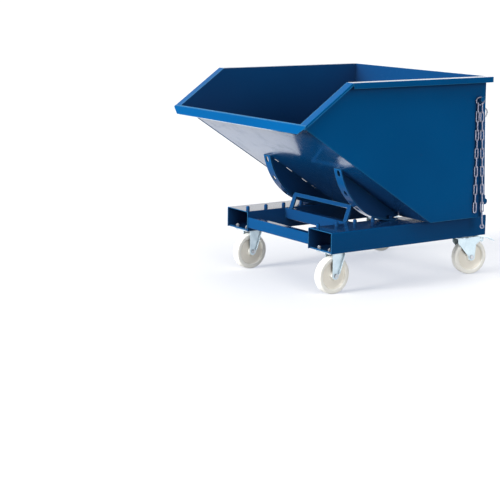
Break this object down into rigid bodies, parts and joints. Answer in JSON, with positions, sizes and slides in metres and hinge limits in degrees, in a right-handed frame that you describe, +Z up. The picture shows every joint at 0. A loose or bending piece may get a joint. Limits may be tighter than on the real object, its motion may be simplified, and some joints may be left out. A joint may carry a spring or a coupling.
{
  "type": "tipping skip trolley",
  "caption": "Steel tipping skip that rolls forward on curved runners over a low wheeled frame, with swivel castors, an upright release lever and a hanging chain.",
  "frame": {"origin": "centre of the overall box in plan, on the floor under the castors", "axes": "+Z up; -Y is the front, where the tub tips out; +X is the side with the chain and the lever"},
  "size_m": [1.21, 1.501, 1.125],
  "materials": {
    "blue_paint": "gloss blue paint on sheet steel",
    "zinc_forks": "bright zinc plated pressed steel",
    "zinc_fasteners": "zinc plated",
    "zinc_chain": "zinc plated round wire",
    "bright_steel": "turned steel",
    "white_polyamide": "satin natural white moulded polyamide"
  },
  "bodies": {
    "frame": {"side_rail_left": "blue_paint", "side_rail_right": "blue_paint", "front_cross_member": "blue_paint", "middle_cross_member": "blue_paint", "rear_cross_tube": "blue_paint", "guide_hoop": "blue_paint", "castor_mounting_plates": "blue_paint", "castor_bolts": "zinc_fasteners", "castor_nuts": "zinc_fasteners", "roll_studs": "blue_paint", "lever_bearing_blocks": "blue_paint", "front_fork_left": "zinc_forks", "front_fork_right": "zinc_forks", "front_axles": "zinc_fasteners", "front_axle_nuts": "zinc_fasteners", "front_spacers": "bright_steel", "rear_top_plates": "zinc_forks", "rear_kingpins": "bright_steel"},
    "roll_carrier": {"roll_plugs": "blue_paint"},
    "tub": {"side_panel_left": "blue_paint", "side_panel_right": "blue_paint", "slope_panel": "blue_paint", "floor_panel": "blue_paint", "back_panel": "blue_paint", "rim_level_left": "blue_paint", "rim_level_right": "blue_paint", "rim_slant_left": "blue_paint", "rim_slant_right": "blue_paint", "rim_rear": "blue_paint", "lip_band": "blue_paint", "runner_web_left": "blue_paint", "runner_web_right": "blue_paint", "runner_strip_left": "blue_paint", "runner_strip_right": "blue_paint", "keeper": "blue_paint", "chain_peg": "blue_paint"},
    "safety_chain": {"chain_links": "zinc_chain", "chain_end_hook": "zinc_chain"},
    "release_lever": {"lever_shaft": "blue_paint", "lever_rod": "blue_paint", "lever_ring_eye": "bright_steel", "lever_clip": "blue_paint", "catch_hook": "blue_paint"},
    "front_roller_left": {"front_wheel_left": "white_polyamide"},
    "rear_swivel_left": {"rear_fork_left": "zinc_forks", "rear_ball_race_left": "zinc_forks", "rear_axle_left": "bright_steel", "rear_spacer_left": "bright_steel", "brake_pin_left": "bright_steel"},
    "rear_roller_left": {"rear_wheel_left": "white_polyamide"},
    "brake_left": {"brake_pedal_left": "zinc_forks"},
    "front_roller_right": {"front_wheel_right": "white_polyamide"},
    "rear_swivel_right": {"rear_fork_right": "zinc_forks", "rear_ball_race_right": "zinc_forks", "rear_axle_right": "bright_steel", "rear_spacer_right": "bright_steel", "brake_pin_right": "bright_steel"},
    "rear_roller_right": {"rear_wheel_right": "white_polyamide"},
    "brake_right": {"brake_pedal_right": "zinc_forks"}
  },
  "joints": [
    {"name": "roll_travel", "type": "slide", "parent": "frame", "child": "roll_carrier", "axis": [0, -1, 0], "range_m": [0, 0.4273]},
    {"name": "tub_roll", "type": "hinge", "parent": "roll_carrier", "child": "tub", "pos_m": [0, 0.07, 0.7293], "axis": [1, 0, 0], "range_deg": [0, 64]},
    {"name": "chain_hang", "type": "hinge", "parent": "tub", "child": "safety_chain", "pos_m": [0.572, 0.461, 1.005], "axis": [1, 0, 0], "range_deg": [-64, 0]},
    {"name": "lever_pull", "type": "hinge", "parent": "frame", "child": "release_lever", "pos_m": [0.495, 0.591, 0.43], "axis": [-1, 0, 0], "range_deg": [0, 35]},
    {"name": "front_wheel_spin_left", "type": "hinge", "parent": "frame", "child": "front_roller_left", "pos_m": [0.38, -0.371, 0.1], "axis": [1, 0, 0], "continuous": true},
    {"name": "rear_swivel_turn_left", "type": "hinge", "parent": "frame", "child": "rear_swivel_left", "pos_m": [0.38, 0.555, 0.22], "axis": [0, 0, 1], "continuous": true},
    {"name": "rear_wheel_spin_left", "type": "hinge", "parent": "rear_swivel_left", "child": "rear_roller_left", "pos_m": [0.39035, 0.59982, 0.1], "axis": [0.9744, -0.225, 0], "continuous": true},
    {"name": "brake_press_left", "type": "hinge", "parent": "rear_swivel_left", "child": "brake_left", "pos_m": [0.40204, 0.65049, 0.208], "axis": [-0.9744, 0.225, 0], "range_deg": [0, 8]},
    {"name": "front_wheel_spin_right", "type": "hinge", "parent": "frame", "child": "front_roller_right", "pos_m": [-0.38, -0.371, 0.1], "axis": [1, 0, 0], "continuous": true},
    {"name": "rear_swivel_turn_right", "type": "hinge", "parent": "frame", "child": "rear_swivel_right", "pos_m": [-0.38, 0.555, 0.22], "axis": [0, 0, 1], "continuous": true},
    {"name": "rear_wheel_spin_right", "type": "hinge", "parent": "rear_swivel_right", "child": "rear_roller_right", "pos_m": [-0.38, 0.601, 0.1], "axis": [1, 0, 0], "continuous": true},
    {"name": "brake_press_right", "type": "hinge", "parent": "rear_swivel_right", "child": "brake_right", "pos_m": [-0.38, 0.653, 0.208], "axis": [-1, 0, 0], "range_deg": [0, 8]}
  ],
  "couplings": [
    {"joint": "roll_travel", "follows": "tub_roll", "m_per_rad": 0.3823},
    {"joint": "chain_hang", "follows": "tub_roll", "ratio": -1}
  ]
}
